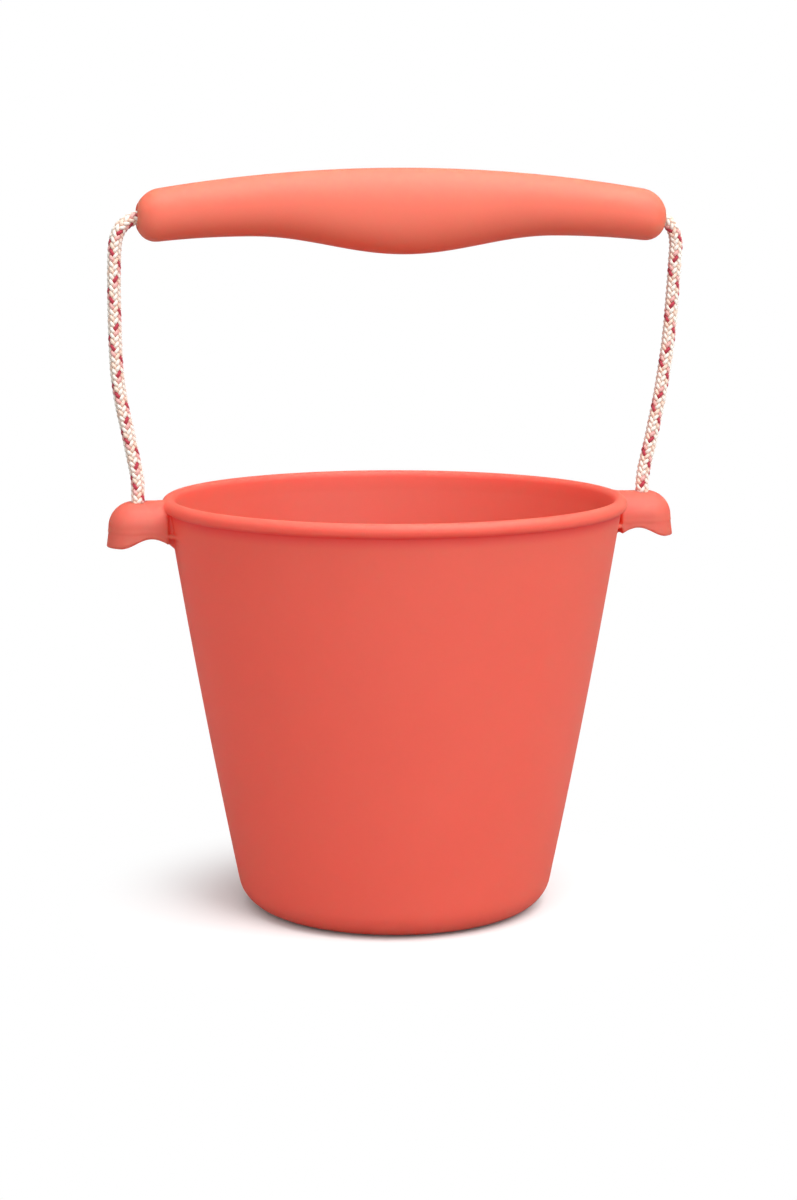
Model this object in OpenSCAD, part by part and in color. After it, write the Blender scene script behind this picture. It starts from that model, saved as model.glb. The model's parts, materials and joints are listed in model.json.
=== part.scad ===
// Soft beach bucket: a one-piece silicone moulding with two hooded lugs, a moulded grip,
// and one braided cord that runs from knot to lug, grip, lug and knot.
// Millimetres, +Z up, origin in the middle of the base, lugs along X, front towards -Y.

/* [Bucket] */
// Outer diameter of the rim bead
rim_d = 145; // [125:1:165]
// Height from the base to the top of the rim
bucket_h = 130; // [100:1:160]
// Diameter at which the wall's line meets the ground
base_d = 96; // [84:1:108]
// How far the wall bows out at half height
wall_bow = 0.75; // [0:0.05:1.5]
// Thickness of the wall
wall_t = 2.4; // [1.8:0.1:3]
// Thickness of the floor
floor_t = 3; // [2:0.1:5]
// Outer radius of the corner between wall and floor
corner_r = 10; // [6:0.5:14]
// Thickness of the round rim bead
bead_d = 4.2; // [3.6:0.1:5]
// How far the bead stands out from the wall
bead_lip = 1.9; // [1.4:0.1:2.4]

/* [Lugs] */
// How far the lugs' crowns lie below the top of the rim
crown_sink = 0.2; // [0.2:0.1:1.5]
// Distance from the rim bead out to the cord hole
hole_out = 7.5; // [7:0.1:10]
// Distance from the cord hole out to the end of the hood's vault
hood_nose = 9.2; // [8.6:0.1:12]
// Width of the hood
hood_w = 16; // [15.4:0.1:20]
// How much the hood's skirt flares out from the vault down to the lobe
hood_flare = 0.8; // [0:0.1:1.6]
// Thickness of the hood's sides
hood_t = 1.8; // [1.4:0.1:2]
// Thickness of the hood's end wall beside the rim
hood_end_t = 1.5; // [1.2:0.1:1.8]
// Thickness of the crown round the cord hole
crown_t = 2.6; // [2:0.1:3.2]
// Distance from the cord hole in to the crest of the hood's arch
arch_in = 3.2; // [2:0.1:5]
// Distance from the cord hole out to where the lobe runs level
lobe_out = 6.3; // [4:0.1:8]
// Depth of the hood's outer lobe below the crown
lobe_drop = 14; // [13:0.1:18]
// Depth of the hood's arch below the crown
arch_drop = 11; // [10.4:0.1:12.8]
// How far the web under the arch runs down the wall
web_foot = 4.2; // [2:0.1:8]
// Thickness of the web under the arch
web_t = 8; // [4:0.1:10]
// Width of the neck between wall and hood
neck_w = 11; // [8:0.1:14]
// Depth of the neck below the crown
neck_drop = 9.8; // [8:0.1:10.2]

/* [Grip] */
// Length of the grip
grip_len = 165; // [150:1:180]
// Thickness of the grip at its waists
grip_d = 18.3; // [16:0.1:20]
// Depth of the waists' underside below the bore's axis
waist_low = 6; // [5:0.1:7]
// Extra half width at the middle of the grip
side_swell = 0.6; // [0:0.1:2]
// How much half width the grip loses towards its ends
end_slim = 0.5; // [0:0.1:1]
// How far the top arches up from the ends to the middle
grip_arch = 7.4; // [4:0.1:9]
// Depth of the finger bump below the waists
bump_drop = 5.6; // [2:0.1:6]
// Half of the bump's length
bump_reach = 47; // [35:1:50]
// How far the underside swells at the ends
end_swell = 2.3; // [0:0.1:3]
// Half height of what the rounding leaves at the ends
end_flat = 0.9; // [0.5:0.1:2]
// Depth of the flared mouths of the bore
mouth_len = 5.5; // [4:0.5:8]
// Radius of the mouths at the ends
mouth_r = 3.9; // [3.4:0.1:4.1]
// How far the grip sits to the right along the cord
grip_shift = 3.1; // [0:0.1:4]

/* [Cord] */
// Diameter of the braided cord
cord_d = 4.4; // [3.8:0.1:4.6]
// Clearance between cord and lug hole, on the radius
hole_gap = 0.15; // [0.1:0.05:0.3]
// Clearance between cord and grip bore, on the radius
bore_gap = 0.25; // [0.15:0.05:0.4]
// Thickness of the cord where the knot draws it tight
knot_cord_d = 3.4; // [3:0.1:3.5]
// How far the knot's wraps press into the cord they go round
knot_bite = 0.4; // [0.2:0.1:0.8]
// Clearance between the knot and the hood round it
knot_gap = 0.2; // [0.1:0.05:0.3]
// Height of the swing axis above the lugs' crowns
pivot_up = 2.7; // [2.7:0.1:4]
// Clearance between the standing and the swinging cord
pivot_gap = 0.4; // [0.4:0.05:0.6]

/* [Hidden] */
$fn = 96;
SILICONE = "#ea6152";
CORD = "#f1e3da";
LEFT = -1;
RIGHT = 1;
past = 1;                       // how far cutting shapes run past what they cut
cord_r = cord_d / 2;

// Bucket: radii, the wall's line and the corners between wall and floor
rim_r = rim_d / 2;
bead_r = bead_d / 2;
bead_ring_r = rim_r - bead_r;
bead_z = bucket_h - bead_r;
wall_top_z = bucket_h - bead_d;
wall_rise = rim_r - bead_lip - base_d / 2;
lean = atan((wall_rise + 4 * wall_bow) / wall_top_z);
arc_steps = 10;
wall_steps = 12;

function wall_r(z) =
    let (k = z / wall_top_z)
    base_d / 2 + wall_rise * k + 4 * wall_bow * k * (1 - k);

// Corner arc and wall line of a pot whose floor lies at z0, inset from the outer wall
function pot_line(z0, corner, inset) =
    let (tangent_z = z0 + corner * (1 - sin(lean)),
         centre_r = wall_r(tangent_z) - inset - corner * cos(lean))
    concat(
        [[0, z0]],
        [for (i = [0:arc_steps])
            let (a = -90 + (90 - lean) * i / arc_steps)
            [centre_r + corner * cos(a), z0 + corner + corner * sin(a)]],
        [for (i = [1:wall_steps])
            let (z = tangent_z + (bead_z - tangent_z) * i / wall_steps)
            [wall_r(z) - inset, z]],
        [[0, bead_z]]);

// Lugs: places, and the hood's wavy lower edge as a depth below the crown
crown_z = bucket_h - crown_sink;
hole_x = rim_r + hole_out;
hood_r = hood_w / 2;
hood_in_r = hood_r - hood_t;
nose_x = hole_x + hood_nose - hood_r;
skirt_slope = hood_flare / (lobe_drop - hood_r);
hood_in_x = rim_r + hood_end_t;
arch_x = hole_x - arch_in;
lobe_x = hole_x + lobe_out;
wave_steps = 18;
web_toe_x = wall_r(crown_z - arch_drop - web_foot);

function lug_depth(x) =
    x < arch_x
        ? arch_drop + web_foot * pow((arch_x - x) / (arch_x - web_toe_x), 2)
        : arch_drop + (lobe_drop - arch_drop) * (1 - cos(180 * min(1, (x - arch_x) / (lobe_x - arch_x)))) / 2;

// Cord: the swing axis, the knot under each crown, and the free stretches.
// Each point is [how far it stands out from the straight line, how far it lies above the swing axis].
pivot_z = crown_z + pivot_up;
stub_top = pivot_up - cord_r - pivot_gap;
knot_r = knot_cord_d / 2;
knot_ring_r = cord_r + knot_r - knot_bite;
knot_z = -crown_t - hood_in_r
    + sqrt(pow(hood_in_r - knot_r - knot_gap, 2) - pow(knot_ring_r, 2));
knot_pitch = knot_cord_d - knot_bite;
left_route = [
    [0, 0], [0.1, 4], [0.8, 8], [1.8, 13], [3, 19], [4.3, 25], [5.3, 31], [6, 37], [6.3, 43],
    [6.5, 50], [6.6, 57], [6.6, 64], [6.5, 70], [6.2, 75], [5.4, 78.5], [3.7, 81], [1.2, 82.7],
    [-2.4, 83.5], [-7.4, 83.5]];
right_route = [
    [0, 0], [0.2, 4], [0.8, 8], [1.6, 13], [2.4, 19], [3.2, 25], [3.8, 31], [4.3, 37], [4.7, 43],
    [4.9, 50], [4.9, 57], [4.9, 64], [4.8, 70], [4.7, 75], [3.9, 78.5], [2.2, 81], [-0.4, 82.7],
    [-4.2, 83.5], [-9.4, 83.5]];
bore_rise = left_route[len(left_route) - 1][1];
bore_z = pivot_z + bore_rise;
cord_sides = 12;
dome_rings = 4;
dome_top_angle = 80;

// Grip: top, underside and width along its length, s from its middle
grip_half = grip_len / 2;
end_drop = grip_arch * (1 - pow(bump_reach / grip_half, 2));
grip_round = (grip_d - end_drop + end_swell) / 2 - end_flat;
bore_r = cord_r + bore_gap;
grip_sides = 28;
grip_steps = 40;
round_steps = 8;

function bell(s, reach) = abs(s) < reach ? (1 + cos(180 * s / reach)) / 2 : 0;
function end_ramp(s) = pow(max(0, (abs(s) - bump_reach) / (grip_half - bump_reach)), 2);
function grip_top(s) =
    grip_d - waist_low + grip_arch * (pow(bump_reach / grip_half, 2) - pow(s / grip_half, 2));
function grip_low(s) = -waist_low - bump_drop * bell(s, bump_reach) - end_swell * end_ramp(s);
function grip_half_w(s) = grip_d / 2 + side_swell * bell(s, bump_reach) - end_slim * end_ramp(s);
function end_inset(s) =
    let (d = max(0, abs(s) - (grip_half - grip_round)))
    grip_round - sqrt(max(0, pow(grip_round, 2) - pow(d, 2)));

// Stations along the grip: even over its length, closer round the ends
grip_stations = concat(
    [for (i = [0:round_steps - 1]) -grip_half + grip_round * (1 - cos(90 * i / round_steps))],
    [for (i = [0:grip_steps]) (grip_half - grip_round) * (2 * i / grip_steps - 1)],
    [for (i = [round_steps - 1:-1:0]) grip_half - grip_round * (1 - cos(90 * i / round_steps))]);

function unit(v) = v / norm(v);

// Closed skin over a list of rings that all have the same number of points
module skin(rings) {
    n = len(rings[0]);
    last = len(rings) - 1;
    sides = [for (i = [0:last - 1], j = [0:n - 1], half = [0, 1])
        let (k = (j + 1) % n)
        half == 0
            ? [i * n + j, i * n + k, (i + 1) * n + k]
            : [i * n + j, (i + 1) * n + k, (i + 1) * n + j]];
    first_cap = [[for (j = [n - 1:-1:0]) j]];
    last_cap = [[for (j = [0:n - 1]) last * n + j]];
    polyhedron([for (ring = rings, p = ring) p], concat(sides, first_cap, last_cap), convexity = 6);
}

// Ring of a cord that runs in the XZ plane, square to its run
function cord_ring(p, along, r) =
    let (t = unit(along), n = [t[2], 0, -t[0]])
    [for (j = [0:cord_sides - 1])
        let (a = 360 * j / cord_sides)
        p + r * (cos(a) * n + sin(a) * [0, 1, 0])];

function route_points(side, route) =
    let (end_x = side * grip_half + grip_shift)
    [for (q = route)
        let (line_x = side * hole_x + (end_x - side * hole_x) * q[1] / bore_rise)
        [line_x + side * q[0], 0, pivot_z + q[1]]];

function run_at(points, i) = points[min(i + 1, len(points) - 1)] - points[max(i - 1, 0)];

// Lug section across X: a round vault over skirts that may flare, measured from the crown
module vault(r, top, bottom, slope) {
    spring = top - r;
    foot = r + slope * (spring - bottom);
    translate([0, spring]) circle(r);
    polygon([[-r, spring], [-foot, bottom], [foot, bottom], [r, spring]]);
}

// Hood form: the vault run along X and turned round its nose
module hood_form(r, top, bottom, from_x) {
    translate([from_x, 0, crown_z]) rotate([90, 0, 90])
        linear_extrude(nose_x - from_x) vault(r, top, bottom, skirt_slope);
    translate([nose_x, 0, crown_z]) rotate([0, 0, -90]) rotate_extrude(angle = 180) intersection() {
        vault(r, top, bottom, skirt_slope);
        translate([0, bottom]) square([2 * r, top - bottom]);
    }
}

// Space below the lug's wavy lower edge, from the wall to the nose
module below_edge(from_x, width) {
    end_x = nose_x + hood_r + hood_flare + past;
    edge = [for (i = [0:wave_steps])
        let (x = from_x + (end_x - from_x) * i / wave_steps)
        [x, crown_z - lug_depth(x)]];
    floor_z = crown_z - lobe_drop - web_foot - 2 * past;
    translate([0, width / 2, 0]) rotate([90, 0, 0])
        linear_extrude(width) polygon(concat(edge, [[end_x, floor_z], [from_x, floor_z]]));
}

module lug() {
    root_x = web_toe_x - wall_t / 2;
    difference() {
        union() {
            hood_form(hood_r, 0, -lobe_drop, rim_r);
            translate([root_x, 0, crown_z]) rotate([90, 0, 90])
                linear_extrude(hood_in_x - root_x) vault(neck_w / 2, 0, -neck_drop, 0);
            translate([root_x, -web_t / 2, crown_z - lobe_drop - web_foot])
                cube([hood_in_x - root_x, web_t, lobe_drop + web_foot - neck_drop + past]);
        }
        hood_form(hood_in_r, -crown_t, -lobe_drop - past, hood_in_x);
        below_edge(root_x - past, hood_w + 2 * (hood_flare + past));
        translate([hole_x, 0, crown_z - crown_t - past])
            cylinder(r = cord_r + hole_gap, h = crown_t + 2 * past);
    }
}

module bucket() color(SILICONE) difference() {
    union() {
        rotate([0, 0, 90]) rotate_extrude() {
            polygon(pot_line(0, corner_r, 0));
            translate([bead_ring_r, bead_z]) circle(bead_r);
        }
        lug();
        mirror([1, 0, 0]) lug();
    }
    rotate([0, 0, 90]) rotate_extrude() difference() {
        union() {
            polygon(pot_line(floor_t, corner_r - wall_t, wall_t));
            translate([0, bead_z - past]) square([bead_ring_r - bead_r, past]);
            translate([0, bead_z]) square([bead_ring_r, bead_r + past]);
        }
        translate([bead_ring_r, bead_z]) circle(bead_r);
    }
}

module grip() color(SILICONE) translate([grip_shift, 0, bore_z]) difference() {
    skin([for (s = grip_stations)
        let (top = grip_top(s),
             low = grip_low(s),
             inset = end_inset(s),
             mid = (top + low) / 2,
             half_h = (top - low) / 2 - inset,
             half_w = grip_half_w(s) - inset)
        [for (j = [0:grip_sides - 1])
            let (a = 360 * j / grip_sides)
            [s, half_w * cos(a), mid - mid * inset / grip_round + half_h * sin(a)]]]);
    translate([-grip_half - past, 0, 0]) rotate([0, 90, 0]) cylinder(r = bore_r, h = grip_len + 2 * past);
    for (side = [LEFT, RIGHT])
        translate([side * (grip_half + past), 0, 0]) rotate([0, -side * 90, 0])
            cylinder(r1 = mouth_r + past * (mouth_r - bore_r) / mouth_len, r2 = bore_r, h = mouth_len + past);
}

// Free stretch of cord: a round end on the swing axis, then the route up into the grip
module free_cord(side, route) color(CORD) {
    points = route_points(side, route);
    dome = [for (i = [0:dome_rings])
        let (a = dome_top_angle * (1 - i / dome_rings))
        cord_ring(points[0] - [0, 0, cord_r * sin(a)], [0, 0, 1], cord_r * cos(a))];
    run = [for (i = [1:len(points) - 1]) cord_ring(points[i], run_at(points, i), cord_r)];
    skin(concat(dome, run));
}

module cord_left() free_cord(LEFT, left_route);
module cord_right() free_cord(RIGHT, right_route);

// Straight stretch inside the bore, between the ends of the free stretches
module cord_in_grip() color(CORD) {
    left_end = route_points(LEFT, left_route)[len(left_route) - 1][0];
    right_end = route_points(RIGHT, right_route)[len(right_route) - 1][0];
    translate([left_end, 0, bore_z]) rotate([0, 90, 0]) cylinder(r = cord_r, h = right_end - left_end);
}

// Cord end through a lug's hole, drawn into a stopper knot of two wraps under the crown
module knot(side) color(CORD) translate([side * hole_x, 0, crown_z]) {
    low_z = knot_z - knot_pitch;
    translate([0, 0, low_z]) cylinder(r = cord_r, h = stub_top - cord_r - low_z);
    translate([0, 0, stub_top - cord_r]) intersection() {
        sphere(cord_r);
        cylinder(r = cord_r, h = cord_r);
    }
    for (z = [low_z, knot_z])
        translate([0, 0, z]) rotate_extrude() translate([knot_ring_r, 0]) circle(knot_r);
}

module knot_left() knot(LEFT);
module knot_right() knot(RIGHT);

bucket();
grip();
cord_left();
cord_right();
cord_in_grip();
knot_left();
knot_right();
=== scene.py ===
"""Soft beach bucket with a moulded grip on a braided cord, dressed over its packed frame.

Every size is in metres, in the frame's own axes: +Z up, lugs along X, front towards -Y.
"""

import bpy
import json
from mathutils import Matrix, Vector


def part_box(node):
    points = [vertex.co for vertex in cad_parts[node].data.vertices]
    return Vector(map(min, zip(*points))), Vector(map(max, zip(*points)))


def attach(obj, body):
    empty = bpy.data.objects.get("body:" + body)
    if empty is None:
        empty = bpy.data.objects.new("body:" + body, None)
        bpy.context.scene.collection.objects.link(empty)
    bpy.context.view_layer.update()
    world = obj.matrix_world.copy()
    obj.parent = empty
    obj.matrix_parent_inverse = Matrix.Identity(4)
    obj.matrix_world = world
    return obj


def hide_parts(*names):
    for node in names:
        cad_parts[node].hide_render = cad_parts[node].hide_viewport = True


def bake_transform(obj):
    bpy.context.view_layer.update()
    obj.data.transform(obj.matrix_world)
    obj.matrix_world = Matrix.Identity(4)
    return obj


bl_info = {
    "name": "Soft Beach Bucket",
    "version": (1, 0, 0),
    "blender": (4, 5, 0),
    "location": "View3D > Sidebar > Beach Bucket",
    "description": "Moulds the silicone bucket and grip, braids the handle cord and sets the studio",
    "category": "Object",
}

import json
import math

import bpy
import numpy as np
from bpy.props import FloatProperty, FloatVectorProperty, IntProperty, PointerProperty
from mathutils import Euler

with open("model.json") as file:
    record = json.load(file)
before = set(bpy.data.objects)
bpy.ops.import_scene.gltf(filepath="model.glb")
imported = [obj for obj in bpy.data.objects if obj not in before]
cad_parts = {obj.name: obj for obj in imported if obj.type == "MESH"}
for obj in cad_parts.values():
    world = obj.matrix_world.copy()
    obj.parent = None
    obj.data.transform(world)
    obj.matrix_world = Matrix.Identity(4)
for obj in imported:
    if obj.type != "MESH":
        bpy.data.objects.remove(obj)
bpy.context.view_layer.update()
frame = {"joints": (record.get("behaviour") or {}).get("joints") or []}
BUCKET_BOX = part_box("bucket")
JOINTS = {joint["name"]: joint for joint in frame["joints"]}

MM = 0.001
SWING_Z = JOINTS["handle_swing"]["pos_m"][2]
BORE_Z = JOINTS["grip_turn"]["pos_m"][2]
LEFT = -1
RIGHT = 1

# Free stretches of the cord, in millimetres: how far each point stands out from the straight line
# between lug hole and grip end, and how far it lies above the swing axis.
LEFT_ROUTE = [
    (0, 0), (0.1, 4), (0.8, 8), (1.8, 13), (3, 19), (4.3, 25), (5.3, 31), (6, 37), (6.3, 43),
    (6.5, 50), (6.6, 57), (6.6, 64), (6.5, 70), (6.2, 75), (5.4, 78.5), (3.7, 81), (1.2, 82.7),
    (-2.4, 83.5), (-7.4, 83.5),
]
RIGHT_ROUTE = [
    (0, 0), (0.2, 4), (0.8, 8), (1.6, 13), (2.4, 19), (3.2, 25), (3.8, 31), (4.3, 37), (4.7, 43),
    (4.9, 50), (4.9, 57), (4.9, 64), (4.8, 70), (4.7, 75), (3.9, 78.5), (2.2, 81), (-0.4, 82.7),
    (-4.2, 83.5), (-9.4, 83.5),
]


def length(name, description, millimetres):
    """A length property with its default in millimetres."""
    return FloatProperty(
        name=name, description=description, default=millimetres * MM, precision=5, unit="LENGTH"
    )


def colour(name, description, rgb):
    """A linear colour property."""
    return FloatVectorProperty(
        name=name, description=description, default=rgb, size=3, min=0, max=1, subtype="COLOR"
    )


class BucketShape(bpy.types.PropertyGroup):
    """Sizes of the bucket's moulding."""

    rim_r: FloatProperty(
        name="Rim radius", description="Outer radius of the rim bead", default=BUCKET_BOX[1].y, unit="LENGTH"
    )
    height: FloatProperty(
        name="Height", description="Height of the rim's top", default=BUCKET_BOX[1].z, unit="LENGTH"
    )
    base_r: length("Base radius", "Radius at which the wall's line meets the ground", 48)
    wall_bow: length("Wall bow", "How far the wall bows out at half height", 0.75)
    wall_t: length("Wall", "Thickness of the wall", 2.4)
    floor_t: length("Floor", "Thickness of the floor", 3)
    corner_r: length("Corner", "Outer radius between wall and floor", 10)
    bead_r: length("Bead radius", "Radius of the round rim bead", 2.1)
    bead_lip: length("Bead lip", "How far the bead stands out from the wall", 1.9)
    crown_sink: length("Crown sink", "How far the lugs' crowns lie below the rim", 0.2)
    hole_out: length("Hole distance", "From the rim bead out to the cord hole", 7.5)
    hole_r: length("Hole radius", "Radius of the cord hole in each lug", 2.35)
    hood_nose: length("Hood nose", "From the cord hole out to the end of the vault", 9.2)
    hood_r: length("Hood radius", "Half of the hood's width", 8)
    hood_flare: length("Hood flare", "How much the skirt flares out down to the lobe", 0.8)
    hood_t: length("Hood side", "Thickness of the hood's sides", 1.8)
    hood_end_t: length("Hood end", "Thickness of the hood's end beside the rim", 1.5)
    crown_t: length("Crown", "Thickness of the crown round the cord hole", 2.6)
    arch_in: length("Arch place", "From the cord hole in to the crest of the arch", 3.2)
    lobe_out: length("Lobe place", "From the cord hole out to where the lobe runs level", 6.3)
    lobe_drop: length("Lobe depth", "Depth of the hood's lobe below the crown", 14)
    arch_drop: length("Arch depth", "Depth of the hood's arch below the crown", 11)
    web_foot: length("Web foot", "How far the web under the arch runs down the wall", 4.2)
    web_t: length("Web", "Thickness of the web under the arch", 8)
    neck_r: length("Neck", "Half width of the neck between wall and hood", 6.4)
    neck_drop: length("Neck depth", "Depth of the neck below the crown", 9.8)
    hood_tuck: length("Hood tuck", "How far the hood runs in under the rim bead", 1.1)
    rib_t: length("Rib thickness", "Thickness of the gusset between wall and hood", 1.1)
    rib_spread: FloatProperty(
        name="Rib spread", description="How much the gusset widens towards the wall", default=1.5
    )
    seam_drop: length("Seam depth", "Depth of the hood's mould seam below the crown", 9.2)
    seam_step: length("Seam step", "How far the hood stands proud above its mould seam", 0.16)
    soft_edge: length("Soft edge", "Rounding of the moulding's free edges", 0.5)
    soft_root: length("Soft root", "Rounding where lug and rim run into each other", 0.7)


class GripShape(bpy.types.PropertyGroup):
    """Sizes of the moulded grip."""

    half_len: length("Half length", "Half of the grip's length", 82.5)
    waist_d: length("Waist", "Thickness of the grip at its waists", 18.3)
    waist_low: length("Waist depth", "Depth of the waists' underside below the bore", 6)
    side_swell: length("Side swell", "Extra half width at the middle", 0.6)
    end_slim: length("End slimming", "How much half width is lost towards the ends", 0.5)
    arch: length("Arch", "How far the top arches up from the ends", 7.4)
    bump_drop: length("Bump depth", "Depth of the finger bump below the waists", 5.6)
    bump_reach: length("Bump reach", "Half of the bump's length", 47)
    end_swell: length("End swell", "How far the underside swells at the ends", 2.3)
    end_flat: length("End flat", "Half height of what the rounding leaves at the ends", 0.9)
    mouth_len: length("Mouth depth", "Depth of the bore's flared mouths", 5.5)
    mouth_r: length("Mouth radius", "Radius of the mouths at the ends", 3.9)
    bore_r: length("Bore radius", "Radius of the bore for the cord", 2.45)
    shift: length("Shift", "How far the grip sits to the right along the cord", 3.1)
    square: FloatProperty(
        name="Squareness", description="Exponent of the section, where 2 is an ellipse", default=2.4
    )


class CordShape(bpy.types.PropertyGroup):
    """Sizes and colours of the braided cord."""

    diameter: length("Diameter", "Diameter of the braided cord", 4.4)
    lay: length("Lay", "Length of one full turn of a strand", 14.3)
    strands: IntProperty(name="Strands", description="Strands in each direction", default=8, min=4)
    strand_w: length("Strand width", "Width of one flat strand", 1.2)
    strand_t: length("Strand thickness", "Thickness of one flat strand", 0.74)
    wave: length("Wave", "How far a strand rises and dips as it crosses others", 0.28)
    knot_d: length("Knot cord", "Thickness of the cord where the knot draws it tight", 3.4)
    knot_bite: length("Knot bite", "How far the wraps press into the cord", 0.4)
    knot_drop: length("Knot place", "Depth of the knot's first wrap below the lug's crown", 6.3)
    tail: length("Tail", "How far the cord's end hangs below the lug's crown wall", 8.4)
    bend: length("Bend", "Length over which the cord bends above a lug", 12)
    knot_turns: FloatProperty(name="Knot turns", description="Wraps of each stopper knot", default=2.2)
    turn: FloatProperty(
        name="Turn", description="Turn of the braid about its path", default=0.0, unit="ROTATION"
    )
    cream: colour("Cream", "Colour of the plain strands", (0.93, 0.87, 0.79))
    peach: colour("Peach", "Colour of the warmer plain strands", (0.90, 0.70, 0.58))
    pink: colour("Pink", "Colour of the pale tracer", (0.84, 0.46, 0.43))
    crimson: colour("Crimson", "Colour of the dark tracer", (0.50, 0.05, 0.08))
    # Painted shade: the tint that darkens a strand where it dips under others.
    painted_dip_shade: colour("Dip", "Tint of a strand where it dips under others", (0.78, 0.55, 0.46))


class SiliconeLook(bpy.types.PropertyGroup):
    """Colours and finish of the silicone."""

    body: colour("Body", "Colour of the bucket", (0.755, 0.1, 0.055))
    grip: colour("Grip", "Colour of the grip", (0.77, 0.145, 0.074))
    roughness: FloatProperty(
        name="Roughness", description="Satin roughness of the moulded skin", default=0.66, subtype="FACTOR"
    )
    gloss: FloatProperty(
        name="Gloss", description="Strength of the skin's reflection", default=1.0, subtype="FACTOR"
    )
    depth: length("Light depth", "How far red light wanders inside the silicone", 10)
    grain: length("Grain", "Height of the moulded skin's fine grain", 0.03)
    # Reach and tint of the painted shade that deepens the colour under the rim bead.
    corner: length("Corner reach", "Depth over which the colour deepens under the rim bead", 4)
    painted_shade_tint: colour("Deep", "Tint of the colour under the rim bead", (0.92, 0.3, 0.3))


class StudioLook(bpy.types.PropertyGroup):
    """Camera, lamps and floor."""

    distance: length("Distance", "Camera's distance from the bucket's axis", 773.6)
    eye: length("Eye height", "Camera's height above the floor", 222.3)
    azimuth: FloatProperty(
        name="Azimuth",
        description="Turn of the camera round the bucket",
        default=math.radians(10.26),
        unit="ROTATION",
    )
    pitch: FloatProperty(
        name="Pitch", description="How far the camera looks down", default=0.161, unit="ROTATION"
    )
    lens: FloatProperty(name="Lens", description="Focal length in millimetres", default=74.73)
    shift: FloatProperty(name="Shift", description="Sideways shift of the frame", default=0.0033, precision=4)
    fill: FloatProperty(name="Fill", description="Strength of the light from all round", default=0.57)
    slant: FloatVectorProperty(
        name="Slant",
        description="How much more fill comes from the right, back and top",
        default=(0.06, -0.75, 0.45),
    )
    gloss_white: FloatProperty(
        name="White in gloss",
        description="Share of the white surroundings that the skin reflects",
        default=0.05,
    )
    top_light: FloatProperty(
        name="Top lamp", description="Power of the overhead lamp", default=7.5, unit="POWER"
    )
    key_light: FloatProperty(
        name="Key lamp", description="Power of the front right lamp", default=12, unit="POWER"
    )
    floor_white: FloatProperty(name="Floor", description="Whiteness of the floor in view", default=0.95)
    floor_bounce: FloatProperty(
        name="Floor bounce", description="Whiteness of the floor for the light it throws back", default=0.3
    )
    floor_near: length("Floor near", "Distance from which the floor starts to turn plain white", 48)
    floor_far: length("Floor far", "Distance from which the floor is plain white", 105)


SETTINGS = {
    "bucket_shape": BucketShape,
    "grip_shape": GripShape,
    "cord_shape": CordShape,
    "silicone_look": SiliconeLook,
    "studio_look": StudioLook,
}


def add_object(name, data):
    """A new object of that data, in the scene's collection."""
    made = bpy.data.objects.new(name, data)
    bpy.context.scene.collection.objects.link(made)
    return made


def mesh_of(name, points, faces, material):
    """A smooth mesh with one material."""
    mesh = bpy.data.meshes.new(name)
    mesh.from_pydata(points, [], faces)
    mesh.validate()
    mesh.shade_smooth()
    mesh.materials.append(material)
    return mesh


def socket_for(tree, node, name, value):
    """Sets a node's input to a value, or links it to another node's output."""
    if isinstance(value, bpy.types.NodeSocket):
        tree.links.new(value, node.inputs[name])
    else:
        node.inputs[name].default_value = value


def add_node(tree, kind, inputs=None, **settings):
    """A new node with its settings and its inputs, by name or by place."""
    node = tree.nodes.new(kind)
    for key, value in settings.items():
        setattr(node, key, value)
    for key, value in (inputs or {}).items():
        socket_for(tree, node, key, value)
    return node


def calc(tree, operation, *values):
    """The result of a math node on sockets and numbers."""
    kind = "ShaderNodeMath"
    return add_node(tree, kind, dict(enumerate(values)), operation=operation).outputs[0]


def calc_vector(tree, operation, *values, scale=None):
    """The result of a vector math node on sockets and vectors."""
    node = add_node(tree, "ShaderNodeVectorMath", dict(enumerate(values)), operation=operation)
    if scale is not None:
        socket_for(tree, node, "Scale", scale)
    return node.outputs[0]


def new_material(name):
    """A node material, its tree and its principled shader."""
    material = bpy.data.materials.new(name)
    material.use_nodes = True
    tree = material.node_tree
    return material, tree, tree.nodes["Principled BSDF"]


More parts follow.
